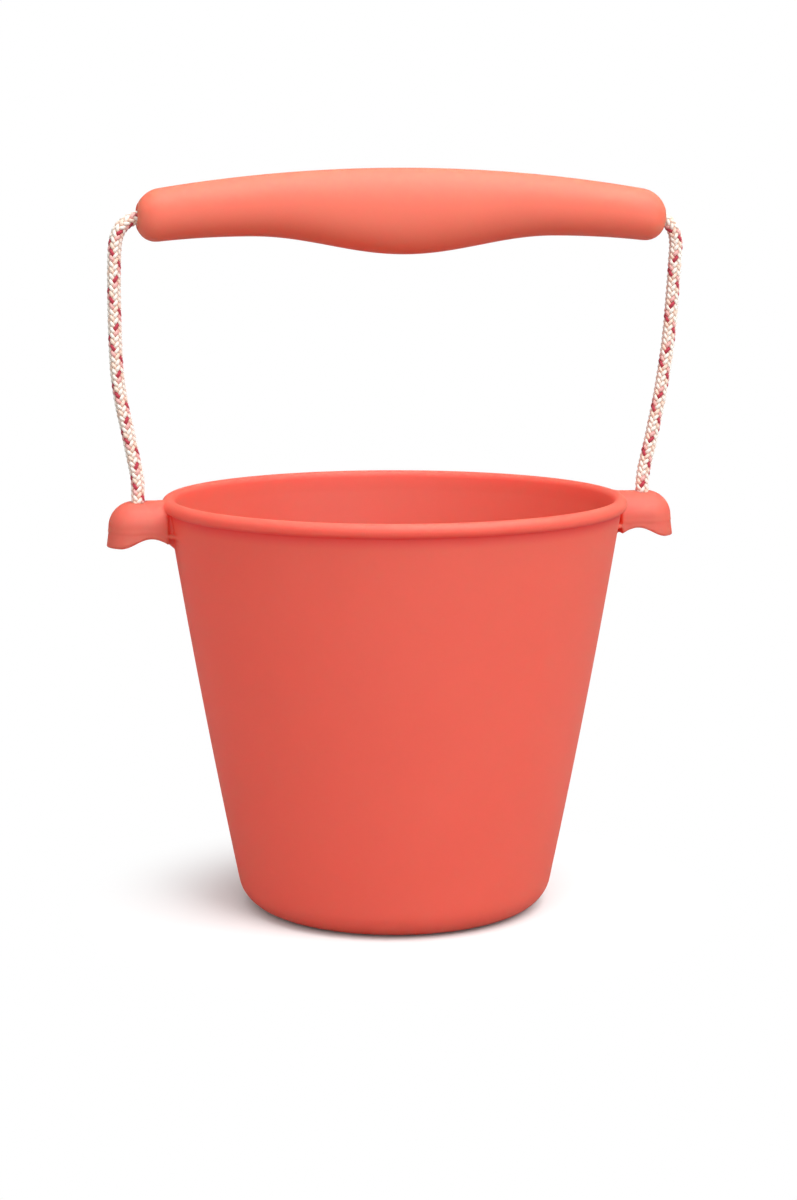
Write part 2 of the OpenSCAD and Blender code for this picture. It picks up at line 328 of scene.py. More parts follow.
def silicone(name, base, look):
    """Satin moulded silicone: translucent, with a fine grain, faint clouds and painted shade, a deeper red
    tint under the rim bead.
    """
    material, tree, shader = new_material(name)
    place = add_node(tree, "ShaderNodeTexCoord").outputs["Object"]
    cloud = add_node(tree, "ShaderNodeTexNoise", {"Vector": place, "Scale": 38, "Detail": 3})
    grain = add_node(tree, "ShaderNodeTexNoise", {"Vector": place, "Scale": 2600, "Detail": 2})
    ramp = add_node(tree, "ShaderNodeValToRGB", {"Fac": cloud.outputs["Fac"]})
    ramp.color_ramp.elements[0].position = 0.3
    ramp.color_ramp.elements[1].position = 0.7
    ramp.color_ramp.elements[0].color = (*[c * 0.985 for c in base], 1)
    ramp.color_ramp.elements[1].color = (*[min(1, c * 1.015) for c in base], 1)
    rough = add_node(
        tree,
        "ShaderNodeMapRange",
        {"Value": grain.outputs["Fac"], "To Min": look.roughness - 0.05, "To Max": look.roughness + 0.05},
    )
    bump = add_node(
        tree, "ShaderNodeBump", {"Height": grain.outputs["Fac"], "Strength": 0.35, "Distance": look.grain}
    )
    # Painted shade: the corner mask pulls the base colour towards the deep tint under the rim bead.
    corner = add_node(tree, "ShaderNodeAttribute", attribute_name="corner").outputs["Fac"]
    painted_shade_ramp = add_node(tree, "ShaderNodeValToRGB", {"Fac": corner})
    painted_shade_ramp.color_ramp.elements[0].color = (1, 1, 1, 1)
    painted_shade_ramp.color_ramp.elements[1].color = (*look.painted_shade_tint, 1)
    painted_shade_ramp.color_ramp.elements[1].position = 0.8
    skin = calc_vector(tree, "MULTIPLY", ramp.outputs["Color"], painted_shade_ramp.outputs["Color"])
    tree.links.new(skin, shader.inputs["Base Color"])
    tree.links.new(rough.outputs["Result"], shader.inputs["Roughness"])
    tree.links.new(bump.outputs["Normal"], shader.inputs["Normal"])
    shader.inputs["Specular IOR Level"].default_value = look.gloss
    shader.inputs["Subsurface Weight"].default_value = 1.0
    shader.inputs["Subsurface Radius"].default_value = (1.0, 0.05, 0.03)
    shader.inputs["Subsurface Scale"].default_value = look.depth
    return material


def braid_yarn(cord):
    """Cotton yarn: each strand's own colour, with fibres that run along it, and painted shade where a strand
    dips under others.
    """
    material, tree, shader = new_material("braided_cotton")
    yarn = add_node(tree, "ShaderNodeAttribute", attribute_name="yarn").outputs["Fac"]
    lift = add_node(tree, "ShaderNodeAttribute", attribute_name="lift").outputs["Fac"]
    place = add_node(tree, "ShaderNodeTexCoord").outputs["Object"]
    fibre = add_node(tree, "ShaderNodeTexNoise", {"Vector": place, "Scale": 3800, "Detail": 3})
    ramp = add_node(tree, "ShaderNodeValToRGB", {"Fac": yarn})
    ramp.color_ramp.interpolation = "CONSTANT"
    colours = yarn_colours(cord)
    for element in list(ramp.color_ramp.elements)[1:]:
        ramp.color_ramp.elements.remove(element)
    ramp.color_ramp.elements[0].color = (*colours[0][1], 1)
    for place_on_ramp, rgb in colours[1:]:
        ramp.color_ramp.elements.new(place_on_ramp).color = (*rgb, 1)
    shade = add_node(
        tree, "ShaderNodeMapRange", {"Value": fibre.outputs["Fac"], "To Min": 0.82, "To Max": 1.12}
    )
    # Painted shade: the lift attribute darkens each strand towards the dip tint where it dips under others.
    painted_dip_shade = add_node(tree, "ShaderNodeValToRGB", {"Fac": lift})
    painted_dip_shade.color_ramp.elements[0].color = (*cord.painted_dip_shade, 1)
    painted_dip_shade.color_ramp.elements[0].position = 0.45
    painted_dip_shade.color_ramp.elements[1].color = (1, 1, 1, 1)
    painted_dip_shade.color_ramp.elements[1].position = 0.92
    mixed = calc_vector(tree, "MULTIPLY", ramp.outputs["Color"], painted_dip_shade.outputs["Color"])
    mixed = calc_vector(tree, "SCALE", mixed, scale=shade.outputs["Result"])
    bump = add_node(
        tree, "ShaderNodeBump", {"Height": fibre.outputs["Fac"], "Strength": 0.6, "Distance": 0.1 * MM}
    )
    tree.links.new(mixed, shader.inputs["Base Color"])
    tree.links.new(bump.outputs["Normal"], shader.inputs["Normal"])
    shader.inputs["Roughness"].default_value = 0.85
    shader.inputs["Specular IOR Level"].default_value = 0.2
    shader.inputs["Sheen Weight"].default_value = 0.3
    return material


def yarn_colours(cord):
    """Where each colour starts on the run of strands: crimson and pink tracers among cream and peach."""
    count = 2 * cord.strands
    special = {2: cord.crimson, 3: cord.pink, cord.strands + 6: cord.crimson, cord.strands + 5: cord.pink}
    colours = []
    for index in range(count):
        plain = cord.peach if index % 4 == 3 else cord.cream
        rgb = tuple(special.get(index, plain))
        if not colours or colours[-1][1] != rgb:
            colours.append((index / count, rgb))
    return colours


def braid_tree():
    """Geometry nodes that braid flat strands round every path, over a plain core."""
    tree = bpy.data.node_groups.new("braid", "GeometryNodeTree")
    face = tree.interface
    face.new_socket("Path", in_out="INPUT", socket_type="NodeSocketGeometry")
    face.new_socket("Strands", in_out="INPUT", socket_type="NodeSocketInt")
    for name in ("Lay", "Turn", "Ring radius", "Wave", "Strand width", "Strand thickness", "Step"):
        face.new_socket(name, in_out="INPUT", socket_type="NodeSocketFloat")
    face.new_socket("Yarn", in_out="INPUT", socket_type="NodeSocketMaterial")
    face.new_socket("Cord", in_out="OUTPUT", socket_type="NodeSocketGeometry")
    given = tree.nodes.new("NodeGroupInput").outputs
    strands = given["Strands"]

    line = add_node(tree, "GeometryNodeMeshToCurve", {"Mesh": given["Path"]}).outputs["Curve"]
    line = add_node(
        tree, "GeometryNodeResampleCurve", {"Curve": line, "Length": given["Step"]}, mode="LENGTH"
    ).outputs["Curve"]
    copies = add_node(
        tree,
        "GeometryNodeDuplicateElements",
        {"Geometry": line, "Amount": calc(tree, "MULTIPLY", strands, 2)},
        domain="SPLINE",
    )
    index = copies.outputs["Duplicate Index"]
    second_half = calc(tree, "GREATER_THAN", index, calc(tree, "SUBTRACT", strands, 0.5))
    way = calc(tree, "SUBTRACT", 1, calc(tree, "MULTIPLY", 2, second_half))
    number = calc(tree, "MODULO", index, strands)
    along = add_node(tree, "GeometryNodeSplineParameter").outputs["Length"]
    turns = calc(tree, "DIVIDE", along, given["Lay"])
    place = calc(tree, "ADD", calc(tree, "MULTIPLY", way, turns), calc(tree, "DIVIDE", number, strands))
    angle = calc(tree, "MULTIPLY_ADD", place, math.tau, given["Turn"])
    crossings = calc(tree, "MULTIPLY", calc(tree, "MULTIPLY", turns, strands), 2)
    beat = calc(
        tree,
        "SUBTRACT",
        calc(tree, "ADD", calc(tree, "MULTIPLY", way, crossings), calc(tree, "MULTIPLY", number, 2)),
        0.5,
    )
    lift = calc(tree, "MULTIPLY", way, calc(tree, "COSINE", calc(tree, "MULTIPLY", beat, math.pi / 2)))
    radius = calc(tree, "ADD", given["Ring radius"], calc(tree, "MULTIPLY", lift, given["Wave"]))
    tangent = add_node(tree, "GeometryNodeInputTangent").outputs["Tangent"]
    normal = add_node(tree, "GeometryNodeInputNormal").outputs["Normal"]
    side = calc_vector(tree, "CROSS_PRODUCT", tangent, normal)
    radial = calc_vector(
        tree,
        "ADD",
        calc_vector(tree, "SCALE", normal, scale=calc(tree, "COSINE", angle)),
        calc_vector(tree, "SCALE", side, scale=calc(tree, "SINE", angle)),
    )
    kept = add_node(
        tree,
        "GeometryNodeStoreNamedAttribute",
        {"Geometry": copies.outputs["Geometry"], "Name": "radial", "Value": radial},
        data_type="FLOAT_VECTOR",
        domain="POINT",
    )
    share = calc(tree, "DIVIDE", calc(tree, "ADD", index, 0.5), calc(tree, "MULTIPLY", strands, 2))
    kept = add_node(
        tree,
        "GeometryNodeStoreNamedAttribute",
        {"Geometry": kept.outputs["Geometry"], "Name": "yarn", "Value": share},
        data_type="FLOAT",
        domain="POINT",
    )
    height = calc(tree, "MULTIPLY_ADD", lift, 0.5, 0.5)
    kept = add_node(
        tree,
        "GeometryNodeStoreNamedAttribute",
        {"Geometry": kept.outputs["Geometry"], "Name": "lift", "Value": height},
        data_type="FLOAT",
        domain="POINT",
    )
    moved = add_node(
        tree,
        "GeometryNodeSetPosition",
        {"Geometry": kept.outputs["Geometry"], "Offset": calc_vector(tree, "SCALE", radial, scale=radius)},
    )
    outward = add_node(tree, "GeometryNodeInputNamedAttribute", {"Name": "radial"}, data_type="FLOAT_VECTOR")
    turned = add_node(
        tree,
        "GeometryNodeSetCurveNormal",
        {"Curve": moved.outputs["Geometry"], "Normal": outward.outputs["Attribute"]},
        mode="FREE",
    )
    ring = add_node(
        tree, "GeometryNodeCurvePrimitiveCircle", {"Resolution": 6, "Radius": 0.5}
    ).outputs["Curve"]
    flat = add_node(
        tree,
        "ShaderNodeCombineXYZ",
        {"X": given["Strand thickness"], "Y": given["Strand width"], "Z": 1.0},
    ).outputs["Vector"]
    section = add_node(tree, "GeometryNodeTransform", {"Geometry": ring, "Scale": flat}).outputs["Geometry"]
    braid = add_node(
        tree,
        "GeometryNodeCurveToMesh",
        {"Curve": turned.outputs["Curve"], "Profile Curve": section, "Fill Caps": True},
    ).outputs["Mesh"]
    core_ring = add_node(
        tree, "GeometryNodeCurvePrimitiveCircle", {"Resolution": 8, "Radius": given["Ring radius"]}
    ).outputs["Curve"]
    core = add_node(
        tree, "GeometryNodeCurveToMesh", {"Curve": line, "Profile Curve": core_ring, "Fill Caps": True}
    ).outputs["Mesh"]
    # The core takes the ramp's last colour, peach: partly its own colour, partly painted shade in the gaps
    # between the strands.
    core = add_node(
        tree,
        "GeometryNodeStoreNamedAttribute",
        {"Geometry": core, "Name": "yarn", "Value": 1.0},
        data_type="FLOAT",
        domain="POINT",
    ).outputs["Geometry"]
    both = add_node(tree, "GeometryNodeJoinGeometry")
    tree.links.new(braid, both.inputs[0])
    tree.links.new(core, both.inputs[0])
    real = add_node(tree, "GeometryNodeRealizeInstances", {"Geometry": both.outputs[0]}).outputs["Geometry"]
    smooth = add_node(tree, "GeometryNodeSetShadeSmooth", {0: real}).outputs[0]
    shown = add_node(tree, "GeometryNodeSetMaterial", {"Geometry": smooth, "Material": given["Yarn"]})
    finished = add_node(tree, "NodeGroupOutput")
    tree.links.new(shown.outputs["Geometry"], finished.inputs["Cord"])
    return tree


def braided(name, path, diameter, cord, tree, yarn):
    """A plain mesh of the braid along a path."""
    line = bpy.data.meshes.new(name + "_path")
    line.from_pydata(path, [(i, i + 1) for i in range(len(path) - 1)], [])
    holder = add_object(name + "_path", line)
    share = diameter / cord.diameter
    values = {
        "Strands": cord.strands,
        "Lay": cord.lay * share,
        "Turn": cord.turn,
        "Ring radius": (diameter - cord.strand_t * share) / 2 - cord.wave * share,
        "Wave": cord.wave * share,
        "Strand width": cord.strand_w * share,
        "Strand thickness": cord.strand_t * share,
        "Step": cord.lay * share / 32,
        "Yarn": yarn,
    }
    modifier = holder.modifiers.new("braid", "NODES")
    modifier.node_group = tree
    for item in tree.interface.items_tree:
        if item.in_out == "INPUT" and item.name in values:
            modifier[item.identifier] = values[item.name]
    seen = holder.evaluated_get(bpy.context.evaluated_depsgraph_get())
    mesh = bpy.data.meshes.new_from_object(seen)
    mesh.name = name
    if mesh.attributes.get("radial"):
        mesh.attributes.remove(mesh.attributes["radial"])
    bpy.data.objects.remove(holder)
    return add_object(name, mesh)


def smooth_line(points, step):
    """A Catmull-Rom curve through the points, sampled about every step."""
    points = np.asarray(points, float)
    ends = np.vstack([2 * points[0] - points[1], points, 2 * points[-1] - points[-2]])
    line = []
    for a, b, c, d in zip(ends, ends[1:], ends[2:], ends[3:]):
        count = max(2, math.ceil(np.linalg.norm(c - b) / step))
        for t in np.arange(count) / count:
            line.append(
                0.5
                * (2 * b + (c - a) * t + (2 * a - 5 * b + 4 * c - d) * t**2 + (3 * b - a - 3 * c + d) * t**3)
            )
    line.append(points[-1])
    return np.array(line)


def route_points(side, route, hole_x, end_x):
    """A free stretch's points in the frame, from the swing axis up into the grip."""
    rise = route[-1][1]
    points = []
    for out, up in route:
        line_x = side * hole_x + (end_x - side * hole_x) * up / rise
        points.append((line_x + side * out * MM, 0, SWING_Z + up * MM))
    return points


class BEACH_OT_braid_cord(bpy.types.Operator):
    """Braid the handle cord from knot to knot, with its two stopper knots"""

    bl_idname = "beach_bucket.braid_cord"
    bl_label = "Braid the cord"

    def execute(self, context):
        bucket = context.scene.bucket_shape
        grip = context.scene.grip_shape
        cord = context.scene.cord_shape
        yarn = braid_yarn(cord)
        tree = braid_tree()
        crown_z = bucket.height - bucket.crown_sink
        hole_x = bucket.rim_r + bucket.hole_out
        knot_z = crown_z - bucket.crown_t - cord.tail
        left = route_points(LEFT, LEFT_ROUTE, hole_x, grip.shift - grip.half_len)
        right = route_points(RIGHT, RIGHT_ROUTE, hole_x, grip.shift + grip.half_len)
        tail = [(-hole_x, 0, z) for z in np.linspace(knot_z, crown_z, 4)]
        other_tail = [(hole_x, 0, z) for z in np.linspace(crown_z, knot_z, 4)]
        inside = [(x, 0, BORE_Z) for x in np.linspace(left[-1][0], right[-1][0], 12)[1:-1]]
        path = smooth_line(tail + left + inside + right[::-1] + other_tail, 1.2 * MM)
        handle = braided("handle_cord", path, cord.diameter, cord, tree, yarn)
        knots = [self.stopper_knot(side, hole_x, crown_z, bucket, cord, tree, yarn) for side in (LEFT, RIGHT)]
        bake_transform(handle)
        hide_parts("cord_left", "cord_right", "cord_in_grip")
        return {"FINISHED"}

    def stopper_knot(self, side, hole_x, crown_z, bucket, cord, tree, yarn):
        """Wraps of the cord's own end, drawn tight under a lug's crown."""
        name = "stopper_knot_left" if side == LEFT else "stopper_knot_right"
        ring_r = (cord.diameter + cord.knot_d) / 2 - cord.knot_bite
        top_z = crown_z - cord.knot_drop
        steps = 90
        points = []
        for i in range(steps + 1):
            turn = cord.knot_turns * i / steps
            tuck = min(1, 8 * min(i, steps - i) / steps)
            r = ring_r * (0.35 + 0.65 * math.sin(tuck * math.pi / 2))
            z = top_z - (cord.knot_d - cord.knot_bite) * cord.knot_turns / 2 * i / steps
            points.append((side * (hole_x + r * math.cos(turn * math.tau)), r * math.sin(turn * math.tau), z))
        knot = braided(name, points, cord.knot_d, cord, tree, yarn)
        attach(knot, "bucket")
        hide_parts("knot_left" if side == LEFT else "knot_right")
        return knot


def soft_min(a, b, k):
    """The smaller of two distances, rounded over k where they meet."""
    h = np.clip(0.5 + 0.5 * (b - a) / k, 0, 1)
    return b + (a - b) * h - k * h * (1 - h)


def soft_max(a, b, k):
    """The larger of two distances, rounded over k where they meet."""
    return -soft_min(-a, -b, k)


class Moulding:
    """The bucket's form as a distance that is negative inside the silicone."""

    def __init__(self, s):
        self.s = s
        self.wall_top = s.height - 2 * s.bead_r
        self.bead_z = s.height - s.bead_r
        self.ring_r = s.rim_r - s.bead_r
        self.rise = s.rim_r - s.bead_lip - s.base_r
        self.lean = math.atan((self.rise + 4 * s.wall_bow) / self.wall_top)
        outer = self.pot_line(0, s.corner_r, 0, self.wall_top)
        inner = self.pot_line(s.floor_t, s.corner_r - s.wall_t, s.wall_t, self.wall_top - s.bead_r)
        bead = [
            (self.ring_r + s.bead_r * math.cos(a), self.bead_z + s.bead_r * math.sin(a))
            for a in np.linspace(math.radians(-85), math.pi, 30)
        ]
        self.section = np.array([(-10 * MM, 0)] + outer + bead + inner[::-1] + [(-10 * MM, s.floor_t)])
        self.crown = s.height - s.crown_sink
        self.hole_x = s.rim_r + s.hole_out
        self.nose_x = self.hole_x + s.hood_nose - s.hood_r
        self.hood_x = s.rim_r - s.hood_tuck
        self.hood_in_x = s.rim_r + s.hood_end_t
        self.slope = s.hood_flare / (s.lobe_drop - s.hood_r)
        self.toe_x = float(self.wall_r(self.crown - s.arch_drop - s.web_foot))

    def wall_r(self, z):
        """Outer radius of the wall at a height."""
        k = z / self.wall_top
        return self.s.base_r + self.rise * k + 4 * self.s.wall_bow * k * (1 - k)

    def pot_line(self, floor_z, corner, inset, top):
        """Corner arc and wall line of a pot up to its top, inset from the outer wall."""
        low = floor_z + corner * (1 - math.sin(self.lean))
        middle = self.wall_r(low) - inset - corner * math.cos(self.lean)
        line = []
        for a in np.linspace(-math.pi / 2, -self.lean, 12):
            line.append((middle + corner * math.cos(a), floor_z + corner + corner * math.sin(a)))
        for z in np.linspace(low, top, 24)[1:]:
            line.append((self.wall_r(z) - inset, z))
        return line

    def pot(self, r, z):
        """Wall, floor and bead, which are round about the axis."""
        best = np.full(r.shape, np.inf)
        inside = np.zeros(r.shape, bool)
        for (r0, z0), (r1, z1) in zip(self.section, np.roll(self.section, -1, axis=0)):
            dr, dz = r1 - r0, z1 - z0
            t = np.clip(((r - r0) * dr + (z - z0) * dz) / (dr * dr + dz * dz), 0, 1)
            best = np.minimum(best, (r - r0 - t * dr) ** 2 + (z - z0 - t * dz) ** 2)
            if z0 != z1:
                inside ^= ((z0 > z) != (z1 > z)) & (r < r0 + (z - z0) * dr / dz)
        return np.where(inside, -1, 1) * np.sqrt(best)

    def hood(self, x, y, z, r, top):
        """A vault with flared skirts, run out along X and turned round its nose."""
        away = np.where(x > self.nose_x, np.hypot(x - self.nose_x, y), np.abs(y))
        up = z - (top - r)
        return np.where(up > 0, np.hypot(away, up) - r, away - r + self.slope * up)

    def lower_edge(self, x, z):
        """How far a point lies below the lug's wavy lower edge."""
        s = self.s
        arch_x = self.hole_x - s.arch_in
        lobe = np.clip((x - arch_x) / (s.arch_in + s.lobe_out), 0, 1)
        toe = np.clip((arch_x - x) / (arch_x - self.toe_x), 0, 1.4)
        depth = s.arch_drop + (s.lobe_drop - s.arch_drop) * (1 - np.cos(math.pi * lobe)) / 2
        return 0.92 * (self.crown - depth - s.web_foot * toe**2 - z)

    def lug(self, x, y, z):
        """One hooded lug with its neck, web and cord hole, on the side of positive X."""
        s = self.s
        edge = s.soft_edge
        under = self.lower_edge(x, z)
        seam = s.seam_step * np.clip((self.crown - s.seam_drop - z) / (0.4 * MM), 0, 1)
        hood = soft_max(self.hood(x, y, z, s.hood_r, self.crown) + seam, self.hood_x - x, edge)
        hollow = soft_max(
            self.hood(x, y, z, s.hood_r - s.hood_t, self.crown - s.crown_t), self.hood_in_x - x, edge
        )
        root = np.where(z < self.bead_z, self.wall_r(z) - s.wall_t / 2, self.ring_r) - np.hypot(x, y)
        ends = np.maximum(np.maximum(root, 0.92 * self.toe_x - x), x - self.hood_in_x)
        vault = self.crown - s.neck_r
        neck = np.where(z > vault, np.hypot(y, z - vault), np.abs(y)) - s.neck_r
        neck = np.maximum(soft_max(neck, self.crown - s.neck_drop - z, edge), ends)
        web = np.maximum(np.abs(y) - s.web_t / 2, np.maximum(ends, z - (self.crown - s.neck_drop + MM)))
        rib_z = self.crown - s.neck_drop - s.rib_t / 2
        rib_w = s.hood_r - edge / 2 + s.rib_spread * np.clip(self.hood_x - x, 0, None)
        rib = soft_max(0.55 * (np.abs(y) - rib_w), np.abs(z - rib_z) - s.rib_t / 2, edge / 2)
        neck = soft_min(soft_min(neck, web, edge), np.maximum(rib, ends), edge / 2)
        lug = soft_min(hood, neck, edge / 2)
        lug = soft_max(lug, -hollow, edge / 2)
        lug = soft_max(lug, under, edge)
        hole = np.hypot(x - self.hole_x, y) - s.hole_r
        return soft_max(lug, -hole, edge / 2)

    def field(self, x, y, z):
        """The whole moulding."""
        pot = self.pot(np.hypot(x, y), z)
        return soft_min(pot, self.lug(np.abs(x), y, z), self.s.soft_root)

    def painted_shade_under_bead(self, p, reach):
        """Mask of the painted shade: how closely points on the wall lie under the bead, 1 in the corner, 0
        from the reach on.
        """
        x, y, z = p.T
        r = np.hypot(x, y)
        on_pot = np.clip(1 - np.abs(self.pot(r, z)) / (0.3 * MM), 0, 1)
        outside = np.clip((r - self.ring_r + self.s.wall_t / 2) / MM, 0, 1)
        away = np.where(z > self.wall_top, 4 * (z - self.wall_top), self.wall_top - z)
        return on_pot * outside * np.clip(1 - away / reach, 0, 1) ** 1.5

    def slope_at(self, p):
        """The field's gradient at points."""
        step = 0.02 * MM
        out = np.empty_like(p)
        for axis in range(3):
            a, b = p.copy(), p.copy()
            a[:, axis] += step
            b[:, axis] -= step
            out[:, axis] = (self.field(*a.T) - self.field(*b.T)) / (2 * step)
        return out


def grid_lines(*stretches):
    """Places along one axis of a grid, from stretches of start, end and step."""
    parts = []
    for start, end, step in stretches:
        parts.append(np.linspace(start, end, max(1, round((end - start) / step)), endpoint=False))
    return np.concatenate(parts + [[stretches[-1][1]]])


def net_cells(f):
    """The cells that a surface crosses, numbered, and its mean crossing point in each of them.

    The middle axis of the grid closes on itself, and its first column is repeated at the end.
    """
    inside = f < 0
    shape = tuple(n - 1 for n in f.shape)
    corner = [(i, j, k) for i in (0, 1) for j in (0, 1) for k in (0, 1)]

    def at(values, c):
        return values[c[0]:c[0] + shape[0], c[1]:c[1] + shape[1], c[2]:c[2] + shape[2]]

    filled = sum(at(inside, c).astype(np.int8) for c in corner)
    active = (filled > 0) & (filled < 8)
    total = np.zeros((int(active.sum()), 3))
    count = np.zeros(len(total))
    for axis in range(3):
        for c in corner:
            if c[axis]:
                continue
            d = tuple(1 if n == axis else v for n, v in enumerate(c))
            f0, f1 = at(f, c)[active], at(f, d)[active]
            cross = (f0 < 0) != (f1 < 0)
            spot = np.tile(np.array(c, float), (len(total), 1))
            spot[:, axis] = f0 / np.where(cross, f0 - f1, 1)
            total[cross] += spot[cross]
            count += cross
    number = np.full(shape, -1)
    number[active] = np.arange(len(total))
    return number, np.argwhere(active), total / count[:, None]


def net_faces(f, number):
    """A face round each grid edge that the surface crosses, and fans over the axis, all facing outwards."""
    inside = f[:, :-1] < 0
    wide, columns, tall = inside.shape
    faces = []
    for axis, (one, two) in enumerate(((1, 2), (2, 0), (0, 1))):
        there = np.roll(inside, -1, axis)
        change = inside != there
        keep = np.ones(inside.shape, bool)
        for n, size in ((0, wide), (2, tall)):
            here = [slice(None)] * 3
            here[n] = [size - 1] if n == axis else [0, size - 1]
            keep[tuple(here)] = False
        spots = np.argwhere(change & keep)
        ring = []
        for a, b in ((-1, -1), (0, -1), (0, 0), (-1, 0)):
            cell = spots.copy()
            cell[:, one] += a
            cell[:, two] += b
            cell[:, 1] %= columns
            ring.append(number[tuple(cell.T)])
        quads = np.stack(ring, 1)
        flip = ~inside[tuple(spots.T)]
        quads[flip] = quads[flip][:, ::-1]
        faces += quads.tolist()
    poles = []
    for k in np.flatnonzero(inside[0, 0, 1:] != inside[0, 0, :-1]):
        ring = number[0, :, k]
        poles.append((ring, bool(inside[0, 0, k])))
    return faces, poles


class BEACH_OT_mould_bucket(bpy.types.Operator):
    """Mould the bucket, its rim bead and its hooded lugs in one piece of silicone"""

    bl_idname = "beach_bucket.mould_bucket"
    bl_label = "Mould the bucket"

    def execute(self, context):
        shape = context.scene.bucket_shape
        look = context.scene.silicone_look
        form = Moulding(shape)
        fine, coarse = 0.45 * MM, 4 * MM
        turn = math.radians(10.5)
        fine_turn, coarse_turn = math.radians(0.42), math.radians(3)
        lug_low = form.crown - shape.lobe_drop - 3 * MM
        reach = form.hole_x + shape.hood_nose + shape.hood_flare
        u = grid_lines((0, 54 * MM, 4.5 * MM), (54 * MM, 66 * MM, 1.5 * MM), (66 * MM, reach + 2 * MM, fine))
        theta = grid_lines(
            (-turn, turn, fine_turn),
            (turn, math.pi - turn, coarse_turn),
            (math.pi - turn, math.pi + turn, fine_turn),
            (math.pi + turn, math.tau - turn, coarse_turn),
        )
        z = grid_lines(
            (-2 * MM, 14 * MM, MM), (14 * MM, lug_low, coarse), (lug_low, shape.height + 1.3 * MM, fine)
        )
        # The grid leans with the wall, so that its rows run round the wall and its columns run up it.
        lean = np.clip(form.wall_r(np.clip(z, 0, form.wall_top)) / form.wall_r(form.wall_top), 0, 1)
        r = u[:, None, None] * lean
        across = theta[:, None]
        values = form.field(r * np.cos(across), r * np.sin(across), z + 0 * r * across)
        values[:, -1] = values[:, 0]
        number, cells, spots = net_cells(values)
        faces, poles = net_faces(values, number)

        def along(lines, axis):
            low = cells[:, axis]
            return lines[low] + spots[:, axis] * (lines[low + 1] - lines[low])

        high = along(z, 2)
        radius = along(u, 0) * np.interp(high, z, lean)
        points = np.stack([radius * np.cos(along(theta, 1)), radius * np.sin(along(theta, 1)), high], 1)
        for ring, filled_below in poles:
            points = np.vstack([points, points[ring].mean(0)])
            hub = len(points) - 1
            for a, b in zip(ring, np.roll(ring, -1)):
                faces.append((hub, a, b) if filled_below else (hub, b, a))
        for _ in range(4):
            slope = form.slope_at(points)
            points -= (form.field(*points.T) / np.maximum((slope**2).sum(1), 0.2))[:, None] * slope
        mesh = mesh_of("bucket_moulding", points, faces, silicone("bucket_silicone", look.body, look))
        # The corner attribute carries the mask of the painted shade under the rim bead.
        corner = mesh.attributes.new("corner", "FLOAT", "POINT")
        corner.data.foreach_set("value", form.painted_shade_under_bead(points, look.corner))
        made = add_object("bucket_moulding", mesh)
        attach(made, "bucket")
        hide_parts("bucket")
        return {"FINISHED"}


